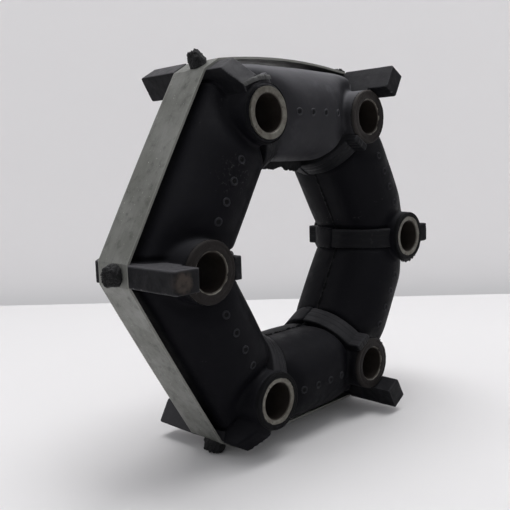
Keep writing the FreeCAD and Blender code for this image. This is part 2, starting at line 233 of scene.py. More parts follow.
def rubber_material(name, dark=RUBBER_DARK, dust_and_lit=RUBBER_DUST_AND_LIT, grain=0.00006, specular=0.055, scuffs=0.25):
    """Moulded rubber: near black, with dust and painted top light on what faces up, sparse pale scuffs and a
    fine uneven skin.
    """
    material = new_material(name)
    place = object_place(material)
    clouds = mottle(material, place, scale=55)
    smears = mottle(material, place, scale=240, detail=6)

    parts = add(material, "ShaderNodeSeparateXYZ", {0: place})
    aside = times(material, combine(material, "ABSOLUTE", parts.outputs["X"]), MITRE_SLOPE)
    above = combine(material, "SUBTRACT", parts.outputs["Z"], aside)
    # What faces up is lightened both by dust and by painted top light.
    settled_and_lit = between(material, above, -MITRE_FADE, MITRE_FADE, *SETTLED_DUST_AND_TOP_LIGHT)
    lit = times(material, combine(material, "POWER", upward(material), SETTLED_AND_LIT_POWER), settled_and_lit)
    patches = times(material, between(material, clouds, 0.35, 0.7), between(material, smears, 0.3, 0.75))
    uneven = between(material, patches, 0.0, 1.0, 0.5, 1.0)
    veiled = times(material, between(material, above, -MITRE_FADE, MITRE_FADE, *VEIL_DUST), uneven)
    dust_and_light = combine(material, "ADD", veiled, lit, clamp=True)
    dull = blend_colours(material, dust_and_light, dark, dust_and_lit)

    flecks = between(material, mottle(material, place, scale=800, detail=3, roughness=0.6), 0.64, 0.74)
    fields = between(material, mottle(material, place, scale=45, detail=2), 0.52, 0.66)
    sparse = times(material, times(material, flecks, fields), scuffs)
    marked = between(material, away_from(material, place, SCUFF_CENTRE), *SCUFF_REACH)
    scratches = between(material, mottle(material, place, scale=900, detail=6, roughness=0.7), 0.54, 0.72)
    scratched = times(material, scratches, marked)
    scuffed = combine(material, "MAXIMUM", sparse, times(material, scratched, SCUFF_STRENGTH))
    colour = blend_colours(material, scuffed, dull, SCUFF_PALE)

    roughness = between(material, smears, 0.3, 0.7, *RUBBER_ROUGHNESS)
    broad = bump(material, mottle(material, place, scale=130, detail=3), distance=0.0006, strength=0.35)
    skin = bump(material, mottle(material, place, scale=1500, detail=5), grain, strength=0.8, normal=broad)
    return finish_material(material, colour, roughness, skin, specular=specular)


FILM_DARK = (0.0052, 0.0053, 0.0066)
FILM_WORN_AND_LIT = (0.080, 0.079, 0.085)
FILM_ROUGHNESS = (0.42, 0.62)
FILM_SPECULAR = 0.10
BARE_STEEL = (0.045, 0.036, 0.030)
# The middle of the patch that has lost its film, and the distances where it ends and is full
BARE_PATCH = (-0.0742, -0.0289, 0.0)
BARE_REACH = (0.0062, 0.0042)
BARE_RAGGEDNESS = 0.004
# Folds a metre, and how far they wander
FOLD_SCALE = 620.0
FOLD_WANDER = 0.0012


def film_material(name, bare_centre=None, edge_wear_and_highlight=0.9, smear=0.10, top_light_and_dust=0.75, folds_across=None):
    """Steel under a thin film of rubber, rubbed grey along its edges with a painted highlight there,
    lightened by dust and painted top light on what faces up, and bare in a patch round one point.

    Where the film has folds along the shaft, folds_across is the direction across them.
    """
    material = new_material(name)
    place = object_place(material)
    point = add(material, "ShaderNodeNewGeometry").outputs["Pointiness"]
    # Pointy edges are lightened both as rubbed wear and as a painted highlight.
    edge = between(material, point, 0.515, 0.58)
    patches = mottle(material, place, scale=420, detail=6)
    worn_and_highlit = times(material, edge, between(material, patches, 0.3, 0.6))
    # What faces up is lightened both by dust and by painted top light.
    lit = times(material, upward(material), top_light_and_dust)
    smears = between(material, mottle(material, place, scale=160, detail=6, roughness=0.7), 0.45, 0.75)
    dust_and_top_light = combine(material, "ADD", lit, times(material, smears, smear))
    dust_and_light = combine(material, "ADD", times(material, worn_and_highlit, edge_wear_and_highlight), dust_and_top_light, clamp=True)
    colour = blend_colours(material, dust_and_light, FILM_DARK, FILM_WORN_AND_LIT)
    if bare_centre:
        distance = away_from(material, place, bare_centre)
        ragged_distance = combine(material, "ADD", distance, times(material, patches, BARE_RAGGEDNESS))
        bare = times(material, between(material, ragged_distance, *BARE_REACH),
                     between(material, patches, 0.25, 0.6))
        colour = blend_colours(material, bare, colour, BARE_STEEL)
    roughness = between(material, patches, 0.3, 0.7, *FILM_ROUGHNESS)
    lumps = bump(material, mottle(material, place, scale=350, detail=3), distance=0.0003, strength=0.5)
    grain = mottle(material, place, scale=2200, detail=4)
    skin = bump(material, grain, distance=0.00004, strength=0.8, normal=lumps)
    if folds_across:
        across = vector_maths(material, "DOT_PRODUCT", place, folds_across).outputs["Value"]
        wander = times(material, mottle(material, place, scale=60, detail=1), FOLD_WANDER)
        folds = add(material, "ShaderNodeTexNoise",
                    {"W": combine(material, "ADD", across, wander), "Scale": FOLD_SCALE, "Detail": 1.0},
                    noise_dimensions="1D")
        skin = bump(material, folds.outputs["Fac"], distance=0.0007, strength=0.7, normal=skin)
    return finish_material(material, colour, roughness, skin, specular=FILM_SPECULAR)


STEEL_METALLIC = 0.55
BUSH_OLIVE = (0.145, 0.140, 0.120)
BUSH_BROWN = (0.085, 0.075, 0.062)
BUSH_PIT = (0.020, 0.017, 0.015)
BUSH_ROUGHNESS = (0.42, 0.6)
BORE_SHADE = (0.030, 0.024, 0.020)
# The radii where the painted shade of the bore ends and the turned face begins
BORE_EDGE = (0.0065, 0.0068)
TURNED_RINGS = 5200


def bush_material(name, centre):
    """Turned steel: faint rings round the bore, olive and brown stains, and painted shade in the bore."""
    material = new_material(name)
    place = object_place(material)
    middle = vector_maths(material, "SUBTRACT", place, centre).outputs[0]
    flat = vector_maths(material, "MULTIPLY", middle, (1, 0, 1)).outputs[0]
    radius = vector_maths(material, "LENGTH", flat).outputs["Value"]
    stains = mottle(material, place, scale=420, detail=6, roughness=0.65)
    stained = blend_colours(material, between(material, stains, 0.35, 0.7), BUSH_OLIVE, BUSH_BROWN)
    pits = between(material, mottle(material, place, scale=900, detail=3), 0.62, 0.70)
    pitted = blend_colours(material, pits, stained, BUSH_PIT)
    # Painted shade inside the bore, out to the turned face.
    colour = blend_colours(material, between(material, radius, *BORE_EDGE), BORE_SHADE, pitted)
    rings = add(material, "ShaderNodeTexNoise",
                {"W": times(material, radius, TURNED_RINGS), "Scale": 1.0}, noise_dimensions="1D")
    turned = bump(material, rings.outputs["Fac"], distance=0.00005, strength=0.5)
    skin = bump(material, stains, distance=0.00015, strength=0.4, normal=turned)
    roughness = between(material, stains, 0.3, 0.7, *BUSH_ROUGHNESS)
    return finish_material(material, colour, roughness, skin, metallic=STEEL_METALLIC)


BAND_DARK = (0.132, 0.135, 0.121)
BAND_LIGHT = (0.208, 0.211, 0.197)
BAND_STREAK = (0.100, 0.101, 0.090)
BAND_STAIN = (0.070, 0.071, 0.064)
BAND_RUBBED_HIGHLIT = (0.27, 0.27, 0.25)
BAND_NICK = (0.36, 0.36, 0.33)
BAND_ROUGHNESS = (0.38, 0.58)
STREAK_STRENGTH = 0.35
STAIN_STRENGTH = 0.65
RUBBED_HIGHLIT_STRENGTH = 0.7
# The middle between the band's rubbed edges, which are also lightened as a painted highlight, and the
# distances from it where they begin and are full
RUBBED_HIGHLIT_MIDDLE = 0.002
RUBBED_HIGHLIT_REACH = (0.0079, 0.0085)
RUBBED_HIGHLIT_RAGGEDNESS = 0.0012
# Streaks run round the band, so their noise is stretched in X and Z, but not along the shaft.
STREAK_STRETCH = (0.06, 1.0, 0.06)


def band_material(name):
    """Rolled steel strip: dull grey-green, clouded and stained, with rubbed edges lightened also as a painted
    highlight, and small bright nicks.
    """
    material = new_material(name)
    place = object_place(material)
    stretched = add(material, "ShaderNodeMapping", {"Vector": place, "Scale": STREAK_STRETCH}).outputs[0]
    streaks = mottle(material, stretched, scale=900, detail=5)
    clouds = mottle(material, place, scale=60, detail=5, roughness=0.6)
    stains = mottle(material, place, scale=260, detail=7, roughness=0.7)
    nicks = between(material, mottle(material, place, scale=1300, detail=2), 0.68, 0.76)

    along_shaft = add(material, "ShaderNodeSeparateXYZ", {0: place}).outputs["Y"]
    off_middle = combine(material, "SUBTRACT", along_shaft, RUBBED_HIGHLIT_MIDDLE)
    across = combine(material, "ABSOLUTE", off_middle)
    ragged_edge = combine(material, "ADD", across, times(material, stains, RUBBED_HIGHLIT_RAGGEDNESS))
    # The band's edges are lightened both as rubbed wear and as a painted highlight.
    rubbed_and_highlit = times(material, between(material, ragged_edge, *RUBBED_HIGHLIT_REACH), RUBBED_HIGHLIT_STRENGTH)
    streaked = times(material, between(material, streaks, 0.45, 0.8), STREAK_STRENGTH)
    stained = times(material, between(material, stains, 0.52, 0.72), STAIN_STRENGTH)

    colour = blend_colours(material, between(material, clouds, 0.3, 0.7), BAND_DARK, BAND_LIGHT)
    layers = ((streaked, BAND_STREAK), (stained, BAND_STAIN), (rubbed_and_highlit, BAND_RUBBED_HIGHLIT), (nicks, BAND_NICK))
    for share, layer in layers:
        colour = blend_colours(material, share, colour, layer)
    roughness = between(material, stains, 0.3, 0.7, *BAND_ROUGHNESS)
    dents = bump(material, stains, distance=0.0002, strength=0.35)
    skin = bump(material, streaks, distance=0.00004, strength=0.5, normal=dents)
    return finish_material(material, colour, roughness, skin, metallic=STEEL_METALLIC)


# Meshes


def new_piece(name, points, faces, material):
    """A smooth mesh from points in millimetres, riding on the part."""
    mesh = bpy.data.meshes.new(name)
    mesh.from_pydata((np.asarray(points) * MM).tolist(), [], [list(face) for face in faces])
    mesh.update()
    mesh.shade_smooth()
    mesh.materials.append(material)
    piece = bpy.data.objects.new(name, mesh)
    bpy.context.scene.collection.objects.link(piece)
    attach(piece, "root")
    return piece


def grid_faces(rows, columns, closed, start=0):
    """Quads between neighbouring rows of points; closed also joins the last row to the first."""
    faces = []
    for row in range(rows if closed else rows - 1):
        here = start + row * columns
        following = start + (row + 1) % rows * columns
        for corner in range(columns - 1):
            faces.append((here + corner, here + corner + 1, following + corner + 1, following + corner))
    return faces


def surface_net(field, low, high, pitch):
    """A quad mesh where a field of points crosses zero, on a grid of the given pitch."""
    low = np.array(low, float)
    counts = np.ceil((np.array(high) - low) / pitch).astype(int) + 1
    axes = [start + pitch * np.arange(count) for start, count in zip(low, counts)]
    grid = np.stack(np.meshgrid(*axes, indexing="ij"), axis=-1)
    values = field(grid.reshape(-1, 3)).reshape(counts)
    inside = values < 0
    cells = counts - 1

    # One point in each cell that the surface passes through, amid its crossings of the cell's edges
    corners = np.array(list(product((0, 1), repeat=3)))
    stack = np.stack([values[tuple(slice(shift, shift + count) for shift, count in zip(corner, cells))]
                      for corner in corners])
    mixed = (stack < 0).any(0) & (stack >= 0).any(0)
    number = np.full(cells, -1)
    number[mixed] = np.arange(np.count_nonzero(mixed))
    own = stack[:, mixed]
    total = np.zeros((own.shape[1], 3))
    hits = np.zeros(own.shape[1])
    for first, second in combinations(range(len(corners)), 2):
        if np.abs(corners[first] - corners[second]).sum() != 1:
            continue
        a, b = own[first], own[second]
        crossed = (a < 0) != (b < 0)
        share = np.where(crossed, a / np.where(crossed, a - b, 1.0), 0.0)
        place = corners[first] + share[:, None] * (corners[second] - corners[first])
        total += place * crossed[:, None]
        hits += crossed
    points = low + pitch * (np.argwhere(mixed) + total / hits[:, None])

    # One quad round each edge of the grid that the surface crosses, facing outwards
    faces = []
    for axis in range(3):
        second, third = (axis + 1) % 3, (axis + 2) % 3
        near = [slice(1, count - 1) for count in counts]
        far = list(near)
        near[axis] = slice(0, counts[axis] - 1)
        far[axis] = slice(1, counts[axis])
        leaves = inside[tuple(near)] & ~inside[tuple(far)]
        enters = ~inside[tuple(near)] & inside[tuple(far)]
        offset = np.array([1, 1, 1])
        offset[axis] = 0
        steps = np.zeros((4, 3), int)
        steps[1, second] = steps[2, second] = -1
        steps[2, third] = steps[3, third] = -1
        for crossing, order in ((leaves, (0, 1, 2, 3)), (enters, (3, 2, 1, 0))):
            places = np.argwhere(crossing) + offset
            quad = [number[tuple((places + steps[corner]).T)] for corner in order]
            faces.append(np.stack(quad, axis=1))
    return points, np.concatenate(faces)


SLOPE_REACH = 0.05
LEAST_SLOPE = 0.25
LEAST_LENGTH = 1e-9


def slope_of(field, points):
    shifts = np.eye(3) * SLOPE_REACH
    rises = [field(points + shift) - field(points - shift) for shift in shifts]
    return np.stack(rises, axis=1) / (2 * SLOPE_REACH)


def settle(field, points, furthest, rounds=3):
    """Moves points on to the field's zero, each by no more than a given distance a round."""
    for _ in range(rounds):
        slope = slope_of(field, points)
        size = np.maximum((slope ** 2).sum(1), LEAST_SLOPE)
        move = -(field(points) / size)[:, None] * slope
        length = np.linalg.norm(move, axis=1)
        points = points + move * np.minimum(1.0, furthest / np.maximum(length, LEAST_LENGTH))[:, None]
    return points


# The rubber ring

RUBBER_PITCH = 0.8
RUBBER_REACH = (80, 23, 72)
COLLAR_FILLET = 1.2
COLLAR_RIM = 1.5
PLATE_FILLET = 0.5
PLATE_INSET = 0.4
# The rubber's bores are a little narrower than the steel tubes that fill them.
TUBE_OVERLAP = 0.2
# The arms sink in round the collars, and more on the outside of the ring.
DIP = 3.4
DIP_OUTWARD = 1.2
DIP_REACH = 5.0
# The rubber has sunk in less round this bush.
SHALLOW_BUSH = 1
SHALLOW_SHARE = 0.5
# The upper arm bulges out under the band; a high power keeps the bulge level along the arm.
BULGE = 2.4
BULGE_HALF_LENGTH = 34.0
BULGE_POWER = 10
# The mould's parting line runs round the ring behind its middle, in a groove.
PART_LINE = 1.6
PART_LINE_WIDTH = 0.8
PART_LINE_DEPTH = 0.5
# It wanders in a slow and a quicker wave, by the place in X and Z, and its groove grows and shrinks.
WANDER_RATES = (0.31, 0.23)
SLOW_SWAY = 0.3
QUICK_SWAY = 0.15
QUICK_RATE = 2.7
GROOVE_LEVEL = 0.6
GROOVE_SWAY = 0.4
GROOVE_RATE = 1.7
GROOVE_PHASE = 1.0
# The rubber draws back in a narrow line along both sides of every plate.
SEAM_OFFSET = 0.7
SEAM_WIDTH = 0.8
SEAM_DEPTH = 0.9
# Rubber covers the fins behind the parting line, and some lugs in front of the band.
FIN_COVER = 0.7
COVER_FADE = 0.5
LUG_COVER = 0.3
BEVEL_FILL = 4.2
# A flap of rubber beside a lug's bevel: out from the shaft axis, sideways from the spoke, along the shaft
FLAP_CENTRE = (66.2, -5.4, -19.2)
FLAP_HALF_SIZE = (2.0, 2.4, 1.4)
# What a field says where its form is absent
ABSENT = 10.0


def wave_rates(seed, spread, count):
    """How fast each of several waves goes along X, Y and Z, in radians a millimetre."""
    return np.random.default_rng(seed).normal(0, spread, (count, 3))


SWELL = 0.28
SWELL_WAVES = wave_rates(5, 0.16, 7)
TEAR_DEPTH = 0.5
TEAR_WAVES = wave_rates(8, 1.3, 9)


def waviness(points, waves):
    return np.sin(points @ waves.T + np.arange(len(waves))).mean(1)


def merge(first, second, reach):
    """The union of two fields with a fillet where they meet."""
    share = np.clip(0.5 + 0.5 * (second - first) / reach, 0, 1)
    return second + (first - second) * share - reach * share * (1 - share)


def sector_places(points):
    """How far out points are in their nearest arm, and out along and sideways from their nearest spoke."""
    x, _, z = points.T
    angle = np.arctan2(z, x)
    radius = np.hypot(x, z)
    from_arm = angle % STEP - STEP / 2
    from_spoke = (angle + STEP / 2) % STEP - STEP / 2
    return radius * np.cos(from_arm), radius * np.cos(from_spoke), radius * np.sin(from_spoke)


def bush_distance(points):
    _, out, side = sector_places(points)
    return np.hypot(out - BOLT_RADIUS, side)


def part_line(points):
    """Where the parting line is along the shaft, and how deep its groove is."""
    wander = points[:, 0] * WANDER_RATES[0] + points[:, 2] * WANDER_RATES[1]
    line = PART_LINE + SLOW_SWAY * np.sin(wander) + QUICK_SWAY * np.sin(QUICK_RATE * wander)
    groove = PART_LINE_DEPTH * (GROOVE_LEVEL + GROOVE_SWAY * np.sin(GROOVE_RATE * wander + GROOVE_PHASE))
    return line, groove


def arm_field(points, across, out, from_bush, nearest):
    """The arms: rounded bars that sink in round the collars, with the upper one's bulge."""
    outward = (out - BOLT_RADIUS) / np.maximum(from_bush, 1.0)
    sink = (DIP + DIP_OUTWARD * outward) * np.where(nearest == SHALLOW_BUSH, SHALLOW_SHARE, 1.0)
    dip = sink * np.exp(-(np.maximum(from_bush - COLLAR_RADIUS, 0) / DIP_REACH) ** 2)
    rounding = np.maximum(np.abs(points[:, 1]) + dip - (ARM_HALF_DEPTH - ARM_HALF_HEIGHT), 0)
    swell = SWELL * waviness(points, SWELL_WAVES)
    arm = np.hypot(across - ARM_APOTHEM, rounding) - ARM_HALF_HEIGHT + swell

    reach = np.clip(np.abs(points[:, 0]) / BULGE_HALF_LENGTH, 0, 1)
    crown = np.where(points[:, 2] > ARM_APOTHEM, 1 - reach ** BULGE_POWER, 0)
    return arm - BULGE * crown * np.clip((across - ARM_APOTHEM) / ARM_HALF_HEIGHT, 0, 1)


def collar_field(depth, from_bush):
    """The collars: cylinders with rounded rims."""
    wall = from_bush - COLLAR_RADIUS + COLLAR_RIM
    end = depth - COLLAR_END + COLLAR_RIM
    corner = np.hypot(np.maximum(wall, 0), np.maximum(end, 0))
    return corner + np.minimum(np.maximum(wall, end), 0) - COLLAR_RIM


def plate_field(points, out, side, nearest, line):
    """The rubber in and on the plates, which fills the ring where they pass through it."""
    depth = np.abs(points[:, 1])
    flat = np.maximum(np.abs(side) - HALF_PLATE, depth - HALF_DEPTH)
    behind = np.clip((points[:, 1] - line) / COVER_FADE, 0, 1)
    inset = PLATE_INSET - (PLATE_INSET + FIN_COVER) * behind
    fin = np.maximum(flat, np.hypot(out - FIN_CENTRE, depth) - FIN_RADIUS) + inset

    bevel = (out + depth - (LUG_FACE - LUG_BEVEL + HALF_DEPTH)) / np.sqrt(2)
    filled = (nearest == FILLED_BEVEL) & (points[:, 1] < 0)
    bevel = np.where(filled, bevel - BEVEL_FILL + TEAR_DEPTH * waviness(points, TEAR_WAVES), bevel)
    lug = np.maximum(np.maximum(flat, out - LUG_FACE), np.maximum(bevel, BOLT_RADIUS - out))
    covered = np.isin(nearest, COVERED_BEVELS) & (points[:, 1] < BAND_FRONT)
    lug += np.where(covered, -LUG_COVER, PLATE_INSET)

    web_side = np.abs(side) - HALF_PLATE + PLATE_INSET
    web_edge = np.maximum(TAB_RADIUS + PLATE_INSET - out, out - BOLT_RADIUS)
    web = np.maximum(np.maximum(web_side, depth - COLLAR_END), web_edge)
    tabbed = np.isin(nearest, FRONT_LUGS) == (points[:, 1] < 0)
    web = np.where(tabbed, web, ABSENT)

    flap_sides = [np.abs(place - centre) - half
                  for place, centre, half in zip((out, side, points[:, 1]), FLAP_CENTRE, FLAP_HALF_SIZE)]
    flap = np.where(nearest == LIP_LUG, np.max(flap_sides, axis=0), ABSENT)
    return np.minimum(np.minimum(fin, lug), np.minimum(web, flap))


def rubber_field(points):
    """Negative inside the rubber; near its surface, about the distance from it."""
    across, out, side = sector_places(points)
    from_bush = np.hypot(out - BOLT_RADIUS, side)
    nearest = np.round(np.arctan2(points[:, 2], points[:, 0]) / STEP).astype(int) % BUSHES + 1
    line, groove = part_line(points)

    arm = arm_field(points, across, out, from_bush, nearest)
    arm += groove * np.exp(-((points[:, 1] - line) / PART_LINE_WIDTH) ** 2)
    beside = np.abs(side) - HALF_PLATE - SEAM_OFFSET
    arm += SEAM_DEPTH * np.exp(-(beside / SEAM_WIDTH) ** 2)

    collar = collar_field(np.abs(points[:, 1]), from_bush)
    plates = plate_field(points, out, side, nearest, line)
    body = merge(merge(arm, collar, COLLAR_FILLET), plates, PLATE_FILLET)
    return np.maximum(body, (TUBE_RADIUS - TUBE_OVERLAP) - from_bush)


def rubber_ring(material):
    low = [-reach for reach in RUBBER_REACH]
    points, faces = surface_net(rubber_field, low, RUBBER_REACH, RUBBER_PITCH)
    points = settle(rubber_field, points, RUBBER_PITCH / 2)
    hidden = (bush_distance(points) < TUBE_RADIUS) & (np.abs(points[:, 1]) < HALF_DEPTH)
    faces = faces[~hidden[faces].all(1)]
    used = np.unique(faces)
    renumber = np.zeros(len(points), int)
    renumber[used] = np.arange(len(used))
    piece = new_piece("rubber_ring", points[used], renumber[faces], material)
    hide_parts("rubber_body")


# Torn rubber and mould marks


def directions(angle):
    """The direction out from the shaft at an angle, and the one sideways from it."""
    return np.array((cos(angle), 0, sin(angle))), np.array((-sin(angle), 0, cos(angle)))


def spoke_directions(number):
    return directions((number - 1) * STEP)


def arm_directions(arm):
    return directions((arm + 0.5) * STEP)


def ring_angles(count):
    return [2 * pi * number / count for number in range(count)]


# Fractal noise is set by how rough it is, how much finer each octave is, and how many there are.
COARSE_TEAR = (1.0, 2.0, 5)
FINE_TEAR = (0.9, 2.1, 4)
RAG_NOISE = (0.8, 2.0, 4)
FILM_NOISE = (1.0, 2.0, 4)

PEG_RADIUS = 3.7
PEG_HEIGHT = 4.3
# The radius and height of the pegs that aren't of the usual size, by bush
PEG_SIZES = {3: (3.1, 5.3), 5: (4.1, 4.3), 6: (4.4, 4.3)}
PEG_RINGS = 22
PEG_SEGMENTS = 72
# How far the foot of a head is sunk into the band
PEG_SINK = 0.3
# Powers that make its side steeper and its top flatter than a ball's
PEG_SIDE_POWER = 0.6
PEG_TOP_POWER = 0.9
PEG_LEAST_RADIUS = 0.02
# The noise of its coarse and fine tears, in cells a millimetre, and what they do to it
COARSE_SCALE = 0.55
FINE_SCALE = 1.3
COARSE_WIDENING = 0.24
COARSE_HEIGHT = 0.5
FINE_HEIGHT = 0.9
# How far apart in the noise the heads lie, so that each is torn in its own way
PEG_APART = 10


def torn_peg(number, material):
    """A rubber rivet head with a torn, pitted end."""
    out, side = spoke_directions(number)
    foot = out * (BAND_OUTER - PEG_SINK) + SHAFT * PEG_SHIFT
    widest, tallest = PEG_SIZES.get(number, (PEG_RADIUS, PEG_HEIGHT))
    points = []
    for ring in range(PEG_RINGS):
        share = ring / (PEG_RINGS - 1)
        turn = share * pi / 2
        for angle in ring_angles(PEG_SEGMENTS):
            radius = widest * cos(turn) ** PEG_SIDE_POWER
            height = tallest * sin(turn) ** PEG_TOP_POWER
            spot = Vector((radius * cos(angle), radius * sin(angle), height + PEG_APART * number))
            coarse = noise.fractal(spot * COARSE_SCALE, *COARSE_TEAR)
            fine = noise.fractal(spot * FINE_SCALE, *FINE_TEAR)
            radius = max(radius * (1 + COARSE_WIDENING * coarse * (0.5 + share)), PEG_LEAST_RADIUS)
            height = height + (FINE_HEIGHT * fine + COARSE_HEIGHT * coarse) * share ** 0.5
            radial = side * cos(angle) + SHAFT * sin(angle)
            place = foot + out * height + radial * radius
            place[2] = max(place[2], FLOOR)
            points.append(place)
    faces = []
    for ring in range(PEG_RINGS - 1):
        here = ring * PEG_SEGMENTS
        above = here + PEG_SEGMENTS
        for segment in range(PEG_SEGMENTS):
            following = (segment + 1) % PEG_SEGMENTS
            faces.append((here + segment, here + following, above + following, above + segment))
    top = (PEG_RINGS - 1) * PEG_SEGMENTS
    faces.append(tuple(range(top, top + PEG_SEGMENTS)))
    piece = new_piece(f"torn_peg_{number}", points, faces, material)
    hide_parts(f"band_peg_{number}")


def torn_lip(name, line, outward, heights, material, thickness):
    """A thin ragged fin of rubber that stands out along a line."""
    line = np.asarray(line, float)
    along = np.gradient(line, axis=0)
    flank = np.cross(along, outward)
    flank /= np.linalg.norm(flank, axis=1)[:, None]
    tip = line + outward * heights[:, None]
    sections = np.stack([line - flank * thickness / 2, tip - flank * thickness / 6,
                         tip + flank * thickness / 6, line + flank * thickness / 2], axis=1)
    faces = grid_faces(len(line), sections.shape[1], closed=False)
    new_piece(name, sections.reshape(-1, 3), faces, material)


# How far apart in the noise two seeds lie, and the middle and spread of the heights' shares
SEED_APART = 7.3
RAG_MIDDLE = 0.35
RAG_SPREAD = 0.8


def ragged(count, low, high, seed, coarse):
    """Heights that wander between low and high, with gaps where they stay at low."""
    heights = []
    for number in range(count):
        wander = noise.fractal(Vector((number * coarse, seed * SEED_APART, 0)), *RAG_NOISE)
        heights.append(low + (high - low) * min(max(RAG_MIDDLE + RAG_SPREAD * wander, 0), 1))
    return np.array(heights)


FLASH_POINTS = 90
FLASH_HALF_RUN = 15.5
FLASH_SINK = 0.1
FLASH_SHIFT = 0.9
FLASH_THICKNESS = 1.2
FLASH_SEED = 3
INNER_FLASH = (0.0, 1.1)
# How far the flash of the top arm hangs down, from its right end to its left
TOP_FLASH = ((0, 1.8), (0.06, 3.0), (0.12, 4.2), (0.2, 4.6), (0.3, 3.4), (0.36, 4.2), (0.42, 2.8), (0.5, 2.6),
             (0.58, 3.3), (0.7, 3.0), (0.85, 2.4), (1, 1.8))


def part_line_lips(material):
    """Torn flash along the mould's parting line on the inner walls."""
    inner = ARM_APOTHEM - ARM_HALF_HEIGHT + FLASH_SINK
    for arm in range(BUSHES):
        out, side = arm_directions(arm)
        runs = np.linspace(-FLASH_HALF_RUN, FLASH_HALF_RUN, FLASH_POINTS)
        line = [out * inner + side * run + SHAFT * (PART_LINE - FLASH_SHIFT) for run in runs]
        seed = arm + FLASH_SEED
        if arm == TOP_ARM:
            shares, hangs = zip(*TOP_FLASH)
            uneven = ragged(FLASH_POINTS, 0.8, 1.1, seed, coarse=0.09)
            heights = np.interp(np.linspace(0, 1, FLASH_POINTS), shares, hangs) * uneven
        else:
            heights = ragged(FLASH_POINTS, *INNER_FLASH, seed, coarse=0.16)
        outward = np.tile(-out, (FLASH_POINTS, 1))
        torn_lip(f"flash_inner_{arm + 1}", line, outward, heights, material, FLASH_THICKNESS)


COLLAR_POINTS = 140
COLLAR_RAG_THICKNESS = 0.7
# How far rags start inside a collar's wall and behind its end
RAG_INSET = 0.35
RAG_SETBACK = 0.5
# How far rags stand out where a skin of rubber covers the bush's end, and where the end is bare
FILMED_RAGS = 0.7
BARE_RAGS = 0.3
# Where a collar's edge is torn furthest, by bush and end: from angle, to angle, in degrees, and height
TORN_COLLARS = {
    (1, -1): (-115, -28, 2.0),
    (6, -1): (15, 150, 1.3),
    (2, -1): (-80, 15, 1.4),
    (4, -1): (150, 230, 0.9),
}
# How far past those angles the tear dies out, in radians
TEAR_FADE = 0.2


def torn_share(angle, low, high):
    """One inside a range of angles given in degrees, falling to nothing just outside it."""
    middle = radians((low + high) / 2)
    half = radians((high - low) / 2)
    away = abs((angle - middle + pi) % (2 * pi) - pi)
    return min(max((half - away) / TEAR_FADE + 1, 0), 1)


def collar_lips(material):
    """Rags of rubber round the collars at the front and rear ends of the bushes."""
    angles = np.linspace(0, 2 * pi, COLLAR_POINTS)
    for number, end in product(range(1, BUSHES + 1), END_NAMES):
        out, side = spoke_directions(number)
        radial = np.array([out * cos(angle) + side * sin(angle) for angle in angles])
        rim = radial * (COLLAR_RADIUS - RAG_INSET)
        line = out * BOLT_RADIUS + rim + SHAFT * end * (COLLAR_END - RAG_SETBACK)
        filmed = (end == -1) == (number in FRONT_LUGS)
        furthest = FILMED_RAGS if filmed else BARE_RAGS
        heights = ragged(COLLAR_POINTS, 0.0, furthest, seed=number * 2 + end, coarse=0.5)
        if (number, end) in TORN_COLLARS:
            low_angle, high_angle, tallest = TORN_COLLARS[number, end]
            extra = ragged(COLLAR_POINTS, 0.35 * tallest, tallest, seed=number + 40, coarse=0.8)
            heights += extra * [torn_share(angle, low_angle, high_angle) for angle in angles]
        torn_lip(f"flash_{END_NAMES[end]}_{number}", line, radial, heights, material, COLLAR_RAG_THICKNESS)


# The lip's line: distance out from the shaft axis, sideways from the spoke, and along the shaft
LIP_LINE = ((69.4, 3.6, -19.4), (69.0, 0.0, -19.8), (68.3, -3.4, -20.3), (67.4, -5.4, -20.9),
            (66.5, -7.2, -21.4))
LIP_HEIGHTS = (0.5, 0.8, 1.0, 1.0, 0.6)
LIP_POINTS = 60
LIP_THICKNESS = 2.4
# How much the lip stands out from the shaft axis and towards the front
LIP_OUTWARD = 0.85
LIP_FORWARD = 0.53


def bevel_lip(material):
    """A worn lip of rubber along the front edge of a bevel, standing out past its right end; its pale rubber
    is wear and a painted highlight.
    """
    out, side = spoke_directions(LIP_LUG)
    shares = np.linspace(0, len(LIP_LINE) - 1, LIP_POINTS)
    knots = np.arange(len(LIP_LINE))
    places = np.array(LIP_LINE)
    reach, across, depth = (np.interp(shares, knots, places[:, axis]) for axis in range(3))
    line = reach[:, None] * out + across[:, None] * side + depth[:, None] * SHAFT
    uneven = ragged(LIP_POINTS, 0.7, 1.25, seed=17, coarse=0.14)
    heights = np.interp(shares, knots, LIP_HEIGHTS) * uneven
    outward = np.tile(out * LIP_OUTWARD - SHAFT * LIP_FORWARD, (LIP_POINTS, 1))
    torn_lip("bevel_lip", line, outward, heights, material, LIP_THICKNESS)


# The skin's section: radius in the bush and distance from the coupling's middle plane
FILM_PROFILE = (
    (10.2, 21.2), (10.25, 21.9), (10.05, 22.25), (9.7, 22.38), (9.3, 22.42), (8.95, 22.30),
    (8.7, 22.28), (8.35, 22.42), (7.9, 22.45), (7.5, 22.40), (7.15, 22.36), (6.9, 22.26), (6.85, 22.0),
)
FILM_OUTER = FILM_PROFILE[0][0]
FILM_INNER = FILM_PROFILE[-1][0]
FILM_SEGMENTS = 120
# How uneven the skin is towards the bore and in its thickness, and how its noise is laid out
FILM_RING_NOISE = 0.3
FILM_LEVEL_NOISE = 0.08
FILM_NOISE_SCALE = 0.5
FILMS_APART = 5.0
# The furthest that it stands out from the steel
FILM_STAND_OUT = 0.3
# Front ends where rubber covers only the rim of the steel, with the radius that it leaves bare
FILMED_RIMS = {1: 8.35, 5: 8.2}


